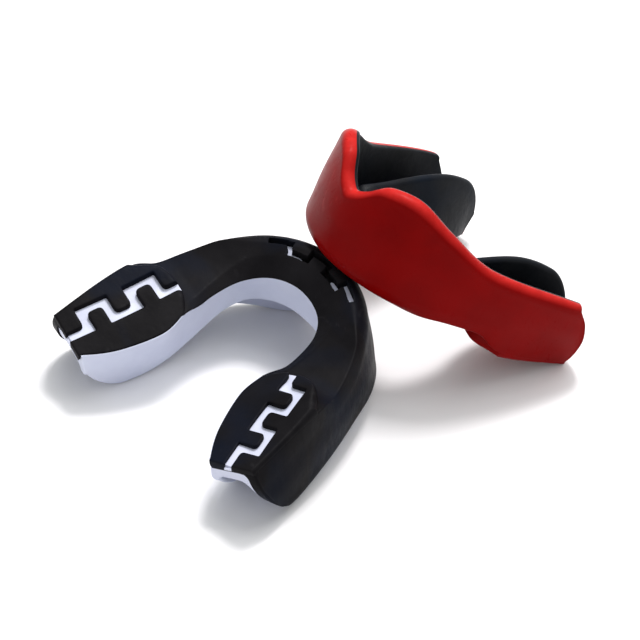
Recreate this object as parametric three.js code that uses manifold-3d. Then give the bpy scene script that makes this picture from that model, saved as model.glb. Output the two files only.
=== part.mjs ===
// Pair of boil-and-bite style mouthguards, one lying upside down and one
// leaning on it with its trough up. Millimetres, +Z up.
import * as THREE from 'three';
import { mergeVertices } from 'three/addons/utils/BufferGeometryUtils.js';
import Module from 'manifold-3d';

const wasm = await Module();
wasm.setup();

// ---------------------------------------------------------------- dimensions
// Arch centreline of the half guard: lateral X and backward Y at stations S.
const S_KNOTS = [0, 0.25, 0.5, 0.75, 1.0];
const ARCH_X = [10.74, 17.02, 20.81, 24.74];
const ARCH_Y = [-3.20, -13.48, -29.69, -45.62];
// Offsets from the centreline, inward (tongue side) and outward (cheek side).
const IN_STATIONS = [0, 0.2, 0.4, 0.55, 0.65, 0.75, 0.87, 1.0];
const IN_BOTTOM = [5.41, 5.51, 5.49, 6.48, 8.47, 10.55, 9.83, 7.15];      // bottom inner edge
const OUT_STATIONS = [0, 0.33, 0.67, 1.0];
const OUT_BOTTOM = [4.48, 4.47, 6.31, 2.95];            // bottom outer edge
const IN_RIM = [6.73, 4.40, 6.19, 7.75];                // tongue-side rim
const OUT_RIM = [6.26, 4.99, 6.90, 6.26];               // lip and cheek rim
// Heights above the bite face.
const LINGUAL_HEIGHT = [10.15, 12.01, 11.93, 15.58, 12.20];    // at S_KNOTS
const LABIAL_STATIONS = [0, 0.05, 0.12, 0.22, 0.38, 0.58, 0.8, 1.0];
const LABIAL_HEIGHT = [16.36, 18.06, 21.75, 22.89, 20.02, 15.74, 14.63, 13.85]; // notch for the lip at 0
const FACE_RISE = [3.50, 4.26, 4.36, 3.78, 3.30];   // inner edge of the bite face above its outer edge
const REAR_SWEEP = [-2.62, 1.16];   // rear edge of the cheek wall: lean, bulge
const BLACK_SPLAY = [-0.0405, 0.0472];   // flex of each guard's legs: spread, lean
const RED_SPLAY = [0.0417, 0.0110];
const WALL_OUT = 2.7;       // cheek wall thickness
const WALL_IN = 2.0;        // tongue wall thickness
const WEB = 3.2;            // bite web thickness
const SHELL = 1.5;          // outer shell thickness
const GAP = 0.3;            // clearance between bonded layers
const PAD_HEIGHT = 1.80;    // bite pad, proud of the web
const PAD_PLANE = [-0.2555, -0.057, 5.07]; // mean bite face under a pad: slopes in X and Y, height
const PAD_FRONT = 0.632;      // station of the pad's rounded front end
const PAD_CHEEK = [[0.71, 5.1], [0.74, 5.15], [0.81, 4.6], [0.89, 3.85], [0.96, 3.0], [1.0, 2.2]]; // its cheek-side edge
const PAD_NOSE = [[0.692, 4.75], [0.674, 4.1], [0.658, 3.25], [0.646, 2.1], [0.638, 0.8], [0.633, -0.7], [0.631, -2.2], [0.631, -3.7], [0.634, -5.1], [0.644, -6.5]];
const GROOVE_DEPTH = 0.6;   // stepped groove through each pad
// Stepped groove: crossings (stations), its two lanes and its half width.
const ZIG_CROSS = [0.925, 0.845, 0.765, 0.688];
const ZIG_LANE_IN = -3.15;
const ZIG_LANE_OUT = 0.75;
const ZIG_HALF = 0.8;
// Front stepped groove, run around the lip-side bottom rounding.
const FRONT_CROSS = [0.05, 0.155];   // stations of its crossings, one side
const FRONT_LANE_LOW = 1.6;
const FRONT_LANE_HIGH = -0.4;
const FRONT_END = 0.26;
const FRONT_HALF = 0.75;
const FRONT_DEPTH = 0.9;
// Stance of the two guards on the table (row-major rotation, then offset).
const BLACK_ROT = [-1.000000, -0.000000, 0.000000, -0.000000, 0.979428, 0.201792, -0.000000, 0.201792, -0.979428];
const BLACK_POS = [-4.595, -3.167, 22.441];
const RED_ROT = [-0.974984, -0.199217, 0.098582, 0.222274, -0.873845, 0.432421, -0.000000, 0.443516, 0.896266];
const RED_POS = [-3.633, 0.860, 20.728];

// ---------------------------------------------------------------- curves
// Cubic spline, zero slope at the first knot (or natural), natural at the last.
function cubic(xs, ys, flatStart) {
  const n = xs.length;
  const a = Array(n).fill(0), b = Array(n).fill(0), c = Array(n).fill(0), d = Array(n).fill(0);
  if (flatStart) {
    const h = xs[1] - xs[0];
    b[0] = 2 * h; c[0] = h; d[0] = 6 * ((ys[1] - ys[0]) / h);
  } else { b[0] = 1; }
  for (let i = 1; i < n - 1; i++) {
    const h0 = xs[i] - xs[i - 1], h1 = xs[i + 1] - xs[i];
    a[i] = h0; b[i] = 2 * (h0 + h1); c[i] = h1;
    d[i] = 6 * ((ys[i + 1] - ys[i]) / h1 - (ys[i] - ys[i - 1]) / h0);
  }
  b[n - 1] = 1;
  for (let i = 1; i < n; i++) {
    const w = a[i] / b[i - 1];
    b[i] -= w * c[i - 1]; d[i] -= w * d[i - 1];
  }
  const m = Array(n).fill(0);
  m[n - 1] = d[n - 1] / b[n - 1];
  for (let i = n - 2; i >= 0; i--) m[i] = (d[i] - c[i] * m[i + 1]) / b[i];
  return (x) => {
    let i = 0;
    while (i < n - 2 && x > xs[i + 1]) i++;
    const h = xs[i + 1] - xs[i], t = x - xs[i], u = xs[i + 1] - x;
    return (m[i] * u ** 3 + m[i + 1] * t ** 3) / (6 * h)
      + (ys[i] / h - m[i] * h / 6) * u + (ys[i + 1] / h - m[i + 1] * h / 6) * t;
  };
}

// Monotone cubic (no overshoot), for the rim heights.
function monotone(xs, ys) {
  const n = xs.length, h = [], del = [], d = Array(n).fill(0);
  for (let i = 0; i < n - 1; i++) { h.push(xs[i + 1] - xs[i]); del.push((ys[i + 1] - ys[i]) / h[i]); }
  for (let i = 1; i < n - 1; i++) {
    if (del[i - 1] * del[i] > 0) {
      const w1 = 2 * h[i] + h[i - 1], w2 = h[i] + 2 * h[i - 1];
      d[i] = (w1 + w2) / (w1 / del[i - 1] + w2 / del[i]);
    }
  }
  const end = (h0, h1, d0, d1) => {
    let v = ((2 * h0 + h1) * d0 - h0 * d1) / (h0 + h1);
    if (v * d0 <= 0) v = 0;
    else if (d0 * d1 <= 0 && Math.abs(v) > 3 * Math.abs(d0)) v = 3 * d0;
    return v;
  };
  d[0] = end(h[0], h[1], del[0], del[1]);
  d[n - 1] = end(h[n - 2], h[n - 3], del[n - 2], del[n - 3]);
  return (x) => {
    let i = 0;
    while (i < n - 2 && x > xs[i + 1]) i++;
    const t = (x - xs[i]) / h[i], t2 = t * t, t3 = t2 * t;
    return (2 * t3 - 3 * t2 + 1) * ys[i] + (t3 - 2 * t2 + t) * h[i] * d[i]
      + (-2 * t3 + 3 * t2) * ys[i + 1] + (t3 - t2) * h[i] * d[i + 1];
  };
}

const archX = cubic(S_KNOTS, [0, ...ARCH_X], false);
const archY = cubic(S_KNOTS, [0, ...ARCH_Y], true);
const inBottom = monotone(IN_STATIONS, IN_BOTTOM);
const outBottom = cubic(OUT_STATIONS, OUT_BOTTOM, true);
const inRim = cubic(OUT_STATIONS, IN_RIM, true);
const outRim = cubic(OUT_STATIONS, OUT_RIM, true);
const lingual = cubic(S_KNOTS, LINGUAL_HEIGHT, true);
const labial = monotone(LABIAL_STATIONS, LABIAL_HEIGHT);
const faceRise = cubic(S_KNOTS, FACE_RISE, true);

// Height of the bite face at outward offset n: it slopes up toward the tongue.
function face(s, n) {
  const a = inBottom(s), b = outBottom(s);
  return faceRise(s) * Math.min(Math.max((b - n) / (a + b), 0), 1);
}

// Tongue wall height, falling away in a round corner at the rear.
function lingualTop(s) {
  const k = Math.min(Math.max((s - 0.87) / 0.13, 0), 1);
  return Math.max(WEB + (lingual(s) - WEB) * Math.sqrt(Math.max(1 - k * k, 0)), WEB + 0.3 + faceRise(s));
}

// Plan position of a point: station s, side (+1 or -1), outward offset n.
function plan(s, side, n) {
  const e = 1e-4, s0 = Math.max(s - e, 0), s1 = Math.min(s + e, 1);
  let tx = archX(s1) - archX(s0), ty = archY(s1) - archY(s0);
  if (s < 1e-6) { tx = 1; ty = 0; }
  const l = Math.hypot(tx, ty);
  tx /= l; ty /= l;
  const y = archY(s) + tx * n, x = side * (archX(s) - ty * n);
  return { x, y, tx: side * tx, ty };
}

// Legs spread and lean a little, because the guard is flexible.
function flexed(x, y, splay) {
  return [x * (1 + splay[0] * y / 40) + splay[1] * y, y];
}

function place(s, side, n, z, sweep, splay) {
  const p = plan(s, side, n);
  if (sweep) {
    const w = Math.min(Math.max((s - 0.8) / 0.2, 0), 1) ** 2;
    const q = Math.min(Math.max(z / 10, 0), 1.3);
    const d = w * (REAR_SWEEP[0] * q + REAR_SWEEP[1] * 4 * q * (1 - q));
    p.x += p.tx * d; p.y += p.ty * d;
  }
  return [...flexed(p.x, p.y, splay), z];
}

// Round the corners of a closed polygon; r and k give radius and point count.
function rounded(poly, r, k) {
  const m = poly.length, out = [];
  for (let i = 0; i < m; i++) {
    const p0 = poly[(i + m - 1) % m], p1 = poly[i], p2 = poly[(i + 1) % m];
    if (k[i] < 2) { out.push(p1); continue; }
    let u = [p0[0] - p1[0], p0[1] - p1[1]], v = [p2[0] - p1[0], p2[1] - p1[1]];
    const lu = Math.hypot(...u), lv = Math.hypot(...v);
    u = [u[0] / lu, u[1] / lu]; v = [v[0] / lv, v[1] / lv];
    const ang = Math.acos(Math.min(Math.max(u[0] * v[0] + u[1] * v[1], -1), 1));
    const t = Math.min(r[i] / Math.tan(ang / 2), 0.49 * Math.min(lu, lv));
    const a = [p1[0] + u[0] * t, p1[1] + u[1] * t], b = [p1[0] + v[0] * t, p1[1] + v[1] * t];
    for (let j = 0; j < k[i]; j++) {
      const q = j / (k[i] - 1), w = 1 - q;
      out.push([w * w * a[0] + 2 * q * w * p1[0] + q * q * b[0],
        w * w * a[1] + 2 * q * w * p1[1] + q * q * b[1]]);
    }
  }
  return out;
}

// ---------------------------------------------------------------- solids
function soup(positions, indices) {
  const g = new THREE.BufferGeometry();
  g.setAttribute('position', new THREE.Float32BufferAttribute(positions, 3));
  g.setIndex(indices);
  let vol = 0;
  for (let i = 0; i < indices.length; i += 3) {
    const p = [0, 1, 2].map((k) => new THREE.Vector3().fromArray(positions, indices[i + k] * 3));
    vol += p[0].dot(p[1].cross(p[2]));
  }
  if (vol < 0) for (let i = 0; i < indices.length; i += 3) {
    const t = indices[i]; indices[i] = indices[i + 1]; indices[i + 1] = t;
  }
  g.setIndex(indices);
  return g;
}

// Loft a section around the arch from -sMax to sMax; caps close both ends.
function loft(section, stations, swept, splay) {
  const rows = [];
  for (const s of stations) {
    const sec = section(Math.abs(s)), side = s >= 0 ? 1 : -1;
    rows.push(sec.map(([n, z]) => place(Math.abs(s), side, n, z, swept && n > 0, splay)));
  }
  const m = rows[0].length, pos = [], idx = [];
  rows.forEach((r) => r.forEach((p) => pos.push(...p)));
  for (let i = 0; i < rows.length - 1; i++) for (let j = 0; j < m; j++) {
    const a = i * m + j, b = i * m + (j + 1) % m, c = a + m, d = b + m;
    idx.push(a, b, d, a, d, c);
  }
  const cap = (i, flip) => {
    const sec = section(Math.abs(stations[i])).map(([n, z]) => new THREE.Vector2(n, z));
    const ccw = !THREE.ShapeUtils.isClockWise(sec);
    for (const [a, b, c] of THREE.ShapeUtils.triangulateShape(sec, [])) {
      const t = (flip === ccw) ? [a, c, b] : [a, b, c];
      idx.push(...t.map((v) => v + i * m));
    }
  };
  cap(0, false);
  cap(rows.length - 1, true);
  return soup(pos, fixCaps(idx, pos));
}

// Keep every shared edge used once in each direction.
function fixCaps(idx) {
  const seen = new Set();
  const out = [];
  for (let i = 0; i < idx.length; i += 3) {
    let t = [idx[i], idx[i + 1], idx[i + 2]];
    const bad = [[0, 1], [1, 2], [2, 0]].some(([a, b]) => seen.has(t[a] + '_' + t[b]));
    if (bad) t = [t[0], t[2], t[1]];
    [[0, 1], [1, 2], [2, 0]].forEach(([a, b]) => seen.add(t[a] + '_' + t[b]));
    out.push(...t);
  }
  return out;
}

function toManifold(geometry) {
  let g = geometry.clone();
  g.deleteAttribute('normal'); g.deleteAttribute('uv');
  g = mergeVertices(g, 1e-5);
  return new wasm.Manifold(new wasm.Mesh({
    numProp: 3,
    vertProperties: new Float32Array(g.attributes.position.array),
    triVerts: new Uint32Array(g.index.array),
  }));
}

function fromManifold(solid) {
  const m = solid.getMesh();
  const g = new THREE.BufferGeometry();
  const pos = new Float32Array(m.numVert * 3);
  for (let i = 0; i < m.numVert; i++) for (let k = 0; k < 3; k++) pos[3 * i + k] = m.vertProperties[m.numProp * i + k];
  g.setAttribute('position', new THREE.BufferAttribute(pos, 3));
  g.setIndex([...m.triVerts]);
  return g;
}

function prism(points, z0, z1) {
  const shape = new THREE.Shape(points.map((p) => new THREE.Vector2(p[0], p[1])));
  const g = new THREE.ExtrudeGeometry(shape, { depth: z1 - z0, bevelEnabled: false });
  g.translate(0, 0, z0);
  return g;
}

const steps = (a, b, n) => Array.from({ length: n + 1 }, (_, i) => a + (b - a) * i / n);
const HALF_STATIONS = [0, 0.04, 0.08, 0.13, 0.19, 0.25, 0.32, 0.4, 0.48, 0.56, 0.62, 0.68, 0.75, 0.82, 0.88, 0.93, 0.97, 0.99, 1.0];
const STATIONS = [...HALF_STATIONS.slice(1).map((s) => -s).reverse(), ...HALF_STATIONS];

// Outer shell: bite layer plus the outside of the lip and cheek wall.
// inset > 0 gives the same body shrunk from its outside faces.
function shellSection(s, inset = 0) {
  const a = inBottom(s), b = outBottom(s), d = outRim(s), ho = labial(s);
  const za = faceRise(s), nb = b - SHELL - 0.5;
  return rounded([
    [-a + inset, za + inset], [b - inset, inset], [d - inset, ho - 0.4 * inset],
    [d - SHELL - 0.2, ho - 0.4 * inset], [nb, face(s, nb) + SHELL], [-a + inset, za + SHELL],
  ], [0.5, 2.8 - inset, 1.3, 0, 1.4, 0], [2, 5, 3, 1, 3, 1]);
}

// Fit liner: upper web, inside of the cheek wall and the whole tongue wall.
function linerSection(s) {
  const a = inBottom(s), b = outBottom(s), c = inRim(s), d = outRim(s), ho = labial(s), hi = lingualTop(s);
  const g = GAP;
  const za = faceRise(s), nb = b - SHELL - 0.5 - g, no = b - WALL_OUT - 0.2, ni = -a + WALL_IN + 0.2;
  return rounded([
    [-a, za + SHELL + g], [nb, face(s, nb) + SHELL + g], [d - SHELL - 0.2 - g, ho],
    [d - WALL_OUT, ho], [no, face(s, no) + WEB], [ni, face(s, ni) + WEB],
    [-c + WALL_IN, hi], [-c, hi],
  ], [0.4, 1.4, 0, 0.8, 1.5, 1.5, 1.1, 1.1], [2, 3, 1, 2, 3, 3, 3, 3]);
}

// Plan outline of a bite pad, in (station, offset).
function padOutline() {
  const cheek = monotone(PAD_CHEEK.map((p) => p[0]), PAD_CHEEK.map((p) => p[1]));
  const pts = steps(0.993, 0.715, 10).map((s) => [s, cheek(s)]);
  pts.push(...PAD_NOSE);
  for (const s of steps(0.66, 0.993, 12)) pts.push([s, -(inBottom(s) - 0.3)]);
  return pts;
}

// One edge of the stepped groove, from past the rear end to past the front.
// shift moves it toward the cheek (+) or the tongue (-).
function zigEdge(shift, corner) {
  const arch = ARCH_LENGTH, hs = shift / arch;
  const [c1, c2, c3, c4] = ZIG_CROSS, nl = ZIG_LANE_IN + shift, nb = ZIG_LANE_OUT + shift;
  const line = [[1.06, nl], [c1 + hs, nl], [c1 + hs, nb], [c2 - hs, nb], [c2 - hs, nl],
    [c3 + hs, nl], [c3 + hs, nb], [c4 - hs, nb], [c4 - hs, nl], [PAD_FRONT - 0.06, nl]];
  // convex tab corners of the half that this edge bounds are rounded
  const out = [line[0]];
  for (let i = 1; i < line.length - 1; i++) {
    const roundIt = shift < 0 ? [2, 3, 6, 7].includes(i) : [1, 4, 5, 8].includes(i);
    if (!roundIt || corner <= 0) { out.push(line[i]); continue; }
    const p = line[i], toward = (q) => {
      const du = (q[0] - p[0]) * arch, dn = q[1] - p[1], l = Math.hypot(du, dn);
      return [p[0] + du / l * corner / arch, p[1] + dn / l * corner];
    };
    const a = toward(line[i - 1]), b = toward(line[i + 1]);
    for (const q of [0, 0.35, 0.65, 1]) {
      const w = 1 - q;
      out.push([w * w * a[0] + 2 * q * w * p[0] + q * q * b[0], w * w * a[1] + 2 * q * w * p[1] + q * q * b[1]]);
    }
  }
  out.push(line[line.length - 1]);
  // follow the arch between corners
  const fine = [out[0]];
  for (let i = 1; i < out.length; i++) {
    const [s0, n0] = out[i - 1], [s1, n1] = out[i], k = Math.max(1, Math.ceil(Math.abs(s1 - s0) / 0.05));
    for (let j = 1; j <= k; j++) fine.push([s0 + (s1 - s0) * j / k, n0 + (n1 - n0) * j / k]);
  }
  return fine;
}

let ARCH_LENGTH = 0;
for (const s of steps(0.01, 1, 99)) ARCH_LENGTH += Math.hypot(archX(s) - archX(s - 0.01), archY(s) - archY(s - 0.01));

const toPlan = (pts, side, splay) => pts.map(([s, n]) => {
  const q = Math.min(s, 1), p = plan(q, side, n), over = (s - q) * ARCH_LENGTH;
  return flexed(p.x + p.tx * over, p.y + p.ty * over, splay);
});

// Give a flat prism the pad plane as its low side, drop above it for an inlay.
function seat(geometry, side, splay, drop) {
  const pos = geometry.attributes.position, v = new THREE.Vector3();
  for (let i = 0; i < pos.count; i++) {
    v.fromBufferAttribute(pos, i);
    const x = (v.x - splay[1] * v.y) / (1 - splay[0] * 38 / 40) * side; // taken at mid pad, so the top stays flat
    const top = PAD_PLANE[0] * x + PAD_PLANE[1] * v.y + PAD_PLANE[2] - PAD_HEIGHT;
    pos.setZ(i, v.z < 0 ? top + drop : 9);
  }
  return geometry;
}

// Everything above the bite face of one leg, with the bond gap below it.
function aboveFace(side, splay) {
  const near = HALF_STATIONS.filter((s) => s > 0.55).map((s) => side * s);
  return toManifold(loft((s) => {
    const a = inBottom(s), b = outBottom(s), z = (n) => faceRise(s) * (b - n) / (a + b) - GAP;
    return [[-a - 3, z(-a - 3)], [b + 3, z(b + 3)], [b + 3, 14], [-a - 3, 14]];
  }, near, false, splay));
}

function padPieces(side, splay) {
  const flat = (pts) => toManifold(prism(toPlan(pts, side, splay), -1, 1));
  const outline = flat(padOutline()), far = 16;
  const lingualEdge = zigEdge(-ZIG_HALF, 0.9), buccalEdge = zigEdge(ZIG_HALF, 0.9);
  const inside = [...lingualEdge, [PAD_FRONT - 0.06, -far], [0.8, -far * 0.75], [1.06, -far]];
  const outside = [...buccalEdge, [PAD_FRONT - 0.06, far], [0.8, far], [1.06, far]];
  const g = ZIG_HALF - GAP;
  const strip = [...zigEdge(g, 0), ...zigEdge(-g, 0).reverse()];
  const cutter = aboveFace(side, splay);
  const piece = (region, drop) => fromManifold(
    toManifold(seat(fromManifold(outline.intersect(flat(region))), side, splay, drop)).subtract(cutter));
  return { inner: piece(inside, 0), outer: piece(outside, 0), inlay: piece(strip, GROOVE_DEPTH) };
}

// Cut the front groove into the shell and make the strip that shows in it.
function frontGroove(splay) {
  const near = STATIONS.filter((s) => Math.abs(s) <= 0.41);
  const body = toManifold(loft((s) => shellSection(s, 0), STATIONS, true, splay));
  const core = (d) => toManifold(loft((s) => shellSection(s, d), near, false, splay));
  const strip = (h) => {
    const hs = h / ARCH_LENGTH, up = [], low = [];
    const c = [...FRONT_CROSS.map((v) => -v).reverse(), ...FRONT_CROSS];
    const end = FRONT_END, lanes = [FRONT_LANE_LOW, FRONT_LANE_HIGH];
    const bottom = Math.max(...lanes);
    let lane = 0;
    up.push([-end - hs, lanes[0] + h]); low.push([-end - hs, lanes[0] - h]);
    for (const v of c) {
      const next = 1 - lane, rising = lanes[next] > lanes[lane];
      const su = rising ? v - hs : v + hs, sl = rising ? v + hs : v - hs;
      up.push([su, lanes[lane] + h], [su, lanes[next] + h]);
      low.push([sl, lanes[lane] - h], [sl, lanes[next] - h]);
      lane = next;
    }
    up.push([end + hs, lanes[lane] + h]); low.push([end + hs, lanes[lane] - h]);
    const fine = (line) => {
      const out = [line[0]];
      for (let i = 1; i < line.length; i++) {
        const k = Math.max(1, Math.ceil(Math.abs(line[i][0] - line[i - 1][0]) / 0.03));
        for (let j = 1; j <= k; j++) out.push([line[i - 1][0] + (line[i][0] - line[i - 1][0]) * j / k,
          line[i - 1][1] + (line[i][1] - line[i - 1][1]) * j / k]);
      }
      return out;
    };
    return [...fine(up), ...fine(low).reverse()].map(([s, n]) => {
      const p = plan(Math.abs(s), s < 0 ? -1 : 1, n, splay);
      return [p.x, p.y];
    });
  };
  const cut = toManifold(prism(strip(FRONT_HALF), -2, 7)).subtract(core(FRONT_DEPTH));
  const shell = body.subtract(cut);
  const band = toManifold(prism(strip(FRONT_HALF - GAP), -2, 7)).intersect(core(0.2)).subtract(core(FRONT_DEPTH - GAP));
  return { shell: fromManifold(shell), inlay: fromManifold(band) };
}


const colours = {
  black: 0x232328, white: 0xd2d6e4, red: 0xa01412, liner: 0x1d1d22, light: 0xe6e6ea,
};

function guard(prefix, shellColour, linerColour, splay, rotation, position) {
  const group = new THREE.Group();
  const add = (name, geometry, colour, roughness) => {
    const mesh = new THREE.Mesh(geometry, new THREE.MeshStandardMaterial({ color: colour, roughness, metalness: 0 }));
    mesh.name = `${prefix}_${name}`;
    group.add(mesh);
  };
  const front = frontGroove(splay);
  add('outer_shell', front.shell, shellColour, 0.35);
  add('fit_liner', loft(linerSection, STATIONS, true, splay), linerColour, 0.45);
  add('front_inlay', front.inlay, linerColour, 0.5);
  for (const [side, hand] of [[1, 'left'], [-1, 'right']]) {
    const p = padPieces(side, splay);
    add(`${hand}_bite_pad_cheek_half`, p.outer, shellColour, 0.35);
    add(`${hand}_bite_pad_tongue_half`, p.inner, shellColour, 0.35);
    add(`${hand}_pad_inlay`, p.inlay, linerColour, 0.5);
  }
  const r = rotation, m = new THREE.Matrix4().set(
    r[0], r[1], r[2], position[0], r[3], r[4], r[5], position[1], r[6], r[7], r[8], position[2], 0, 0, 0, 1);
  m.decompose(group.position, group.quaternion, group.scale);
  return group;
}

const set = new THREE.Group();
set.add(guard('black', colours.black, colours.white, BLACK_SPLAY, BLACK_ROT, BLACK_POS));
set.add(guard('red', colours.red, colours.liner, RED_SPLAY, RED_ROT, RED_POS));

export default set;
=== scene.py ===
# Looks for a pair of moulded mouthguards: one black over white, upside down, and one
# red over black that leans on it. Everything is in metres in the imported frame.
import math
import bpy
import numpy as np
from mathutils import Matrix, Vector
from mathutils.geometry import delaunay_2d_cdt, tessellate_polygon


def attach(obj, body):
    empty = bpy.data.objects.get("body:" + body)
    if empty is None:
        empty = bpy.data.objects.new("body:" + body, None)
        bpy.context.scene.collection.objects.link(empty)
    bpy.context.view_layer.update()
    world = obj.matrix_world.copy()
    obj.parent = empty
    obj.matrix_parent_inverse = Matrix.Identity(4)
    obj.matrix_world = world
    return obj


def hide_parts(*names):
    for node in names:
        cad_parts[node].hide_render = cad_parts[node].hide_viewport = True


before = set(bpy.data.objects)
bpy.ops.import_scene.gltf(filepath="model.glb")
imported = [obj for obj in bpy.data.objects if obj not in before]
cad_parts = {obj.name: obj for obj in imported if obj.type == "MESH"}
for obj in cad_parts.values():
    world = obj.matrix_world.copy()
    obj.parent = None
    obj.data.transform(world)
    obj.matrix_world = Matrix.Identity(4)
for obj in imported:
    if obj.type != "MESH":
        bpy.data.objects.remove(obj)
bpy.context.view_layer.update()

MM = 0.001

# ------------------------------------------------------------------ shape numbers (mm)
S_KNOTS = [0, 0.25, 0.5, 0.75, 1.0]
ARCH_X = [10.74, 17.02, 20.81, 24.74]
ARCH_Y = [-3.20, -13.48, -29.69, -45.62]
IN_STATIONS = [0, 0.2, 0.4, 0.55, 0.65, 0.75, 0.87, 1.0]
IN_BOTTOM = [5.41, 5.51, 5.49, 6.48, 8.47, 10.55, 9.83, 7.15]
OUT_STATIONS = [0, 0.33, 0.67, 1.0]
OUT_BOTTOM = [4.48, 4.47, 6.31, 2.95]
IN_RIM = [6.73, 4.40, 6.19, 7.75]
OUT_RIM = [6.26, 4.99, 6.90, 6.26]
LINGUAL_HEIGHT = [10.15, 12.01, 11.93, 15.58, 12.20]
LABIAL_STATIONS = [0, 0.05, 0.12, 0.22, 0.38, 0.58, 0.8, 1.0]
LABIAL_HEIGHT = [16.36, 18.06, 21.75, 22.89, 20.02, 15.74, 14.63, 13.85]
FACE_RISE = [3.45, 4.12, 4.12, 3.60, 3.30]
REAR_SWEEP = [-2.62, 1.16]
WALL_OUT, WALL_IN, WEB, SHELL = 2.7, 2.0, 3.2, 1.5
RIM_OUT, RIM_IN = 0.45, 2.0     # shell part of the lip rim, either side of the fitted edge
PAD_PLANE = [-0.2555, -0.057, 5.07 - 1.80]
GROOVE = 1.1                    # depth of the stepped groove in a pad
ZIG_CROSS = [0.925, 0.845, 0.765, 0.688]
ZIG_IN, ZIG_OUT, ZIG_HALF = -3.15, 0.75, 0.8
FRONT_CROSS = [0.05, 0.155]
FRONT_LANES = [1.60, -0.22]
FRONT_END, FRONT_HALF, FRONT_CUT, FRONT_FLOOR = 0.244, 0.54, 1.80, 1.58
SKIN_EDGE = 0.15                # black skin that shows above the liner on the tongue side
TAIL = 1.5                      # radius of the rear corner of the cheek wall
GUARDS = {
    "black": dict(
        splay=(-0.0405, 0.0472),
        rot=[-1.0, 0.0, 0.0, 0.0, 0.979428, 0.201792, 0.0, 0.201792, -0.979428],
        pos=[-4.595, -3.167, 22.441]),
    "red": dict(
        splay=(0.0417, 0.0110),
        rot=[-0.974984, -0.199217, 0.098582, 0.222274, -0.873845, 0.432421, 0.0, 0.443516, 0.896266],
        pos=[-3.633, 0.860, 20.728]),
}


# ------------------------------------------------------------------ curves
def cubic(xs, ys, flat):
    n = len(xs)
    A = np.zeros((n, n)); r = np.zeros(n)
    if flat:
        h = xs[1] - xs[0]
        A[0, 0], A[0, 1], r[0] = 2 * h, h, 6 * (ys[1] - ys[0]) / h
    else:
        A[0, 0] = 1
    for i in range(1, n - 1):
        h0, h1 = xs[i] - xs[i - 1], xs[i + 1] - xs[i]
        A[i, i - 1], A[i, i], A[i, i + 1] = h0, 2 * (h0 + h1), h1
        r[i] = 6 * ((ys[i + 1] - ys[i]) / h1 - (ys[i] - ys[i - 1]) / h0)
    A[-1, -1] = 1
    m = np.linalg.solve(A, r)
    xs, ys = np.array(xs, float), np.array(ys, float)

    def f(x):
        x = np.asarray(x, float)
        i = np.clip(np.searchsorted(xs, x, side="left") - 1, 0, n - 2)
        h, t, u = xs[i + 1] - xs[i], x - xs[i], xs[i + 1] - x
        return ((m[i] * u ** 3 + m[i + 1] * t ** 3) / (6 * h)
                + (ys[i] / h - m[i] * h / 6) * u + (ys[i + 1] / h - m[i + 1] * h / 6) * t)
    return f


def monotone(xs, ys):
    xs, ys = np.array(xs, float), np.array(ys, float)
    n, h = len(xs), np.diff(xs)
    dl = np.diff(ys) / h
    d = np.zeros(n)
    for i in range(1, n - 1):
        if dl[i - 1] * dl[i] > 0:
            w1, w2 = 2 * h[i] + h[i - 1], h[i] + 2 * h[i - 1]
            d[i] = (w1 + w2) / (w1 / dl[i - 1] + w2 / dl[i])

    def end(h0, h1, d0, d1):
        v = ((2 * h0 + h1) * d0 - h0 * d1) / (h0 + h1)
        if v * d0 <= 0:
            return 0.0
        return 3 * d0 if d0 * d1 <= 0 and abs(v) > 3 * abs(d0) else v
    d[0], d[-1] = end(h[0], h[1], dl[0], dl[1]), end(h[-1], h[-2], dl[-1], dl[-2])

    def f(x):
        x = np.asarray(x, float)
        i = np.clip(np.searchsorted(xs, x, side="left") - 1, 0, n - 2)
        t = (x - xs[i]) / h[i]
        t2, t3 = t * t, t * t * t
        return ((2 * t3 - 3 * t2 + 1) * ys[i] + (t3 - 2 * t2 + t) * h[i] * d[i]
                + (-2 * t3 + 3 * t2) * ys[i + 1] + (t3 - t2) * h[i] * d[i + 1])
    return f


def softened(f, width):
    """f on [0, 1], even about 0, blurred by width so that shading stays smooth."""
    g = np.linspace(0, 1, 1001)
    v = f(g)
    k = int(4 * width * 1000)
    pad = np.concatenate([v[k:0:-1], v, 2 * v[-1] - v[-2:-k - 2:-1]])
    w = np.exp(-0.5 * (np.arange(-k, k + 1) / (width * 1000)) ** 2)
    out = np.convolve(pad, w / w.sum(), "valid")
    return lambda x: np.interp(x, g, out)


archX, archY = cubic(S_KNOTS, [0] + ARCH_X, False), cubic(S_KNOTS, [0] + ARCH_Y, True)
inBottom = softened(monotone(IN_STATIONS, IN_BOTTOM), 0.012)
outBottom, inRim, outRim = (cubic(OUT_STATIONS, v, True) for v in (OUT_BOTTOM, IN_RIM, OUT_RIM))
lingual = cubic(S_KNOTS, LINGUAL_HEIGHT, True)
labial = softened(monotone(LABIAL_STATIONS, LABIAL_HEIGHT), 0.010)
plainRise = cubic(S_KNOTS, FACE_RISE, True)


def faceRise(s):
    """Height of the bite face's tongue edge; it climbs to the pad's corner just before the pad."""
    q = np.abs(np.asarray(s, float))
    u, v = np.clip((q - 0.585) / 0.085, 0, 1), np.clip((q - 0.69) / 0.05, 0, 1)
    return plainRise(s) - 1.6 * u * u * (3 - 2 * u) * (1 - v * v * (3 - 2 * v))


ridgeN = softened(monotone([0, 0.08, 0.2, 0.35, 0.46, 0.55, 0.64, 1.0], [-1.0, -1.1, -1.6, -1.9, -3.1, -4.6, -6.3, -7]), 0.02)
ridgeA = softened(monotone([0, 0.3, 0.45, 0.58, 0.67, 1.0], [0.45, 0.55, 0.8, 0.8, 0.0, 0.0]), 0.02)
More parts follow.
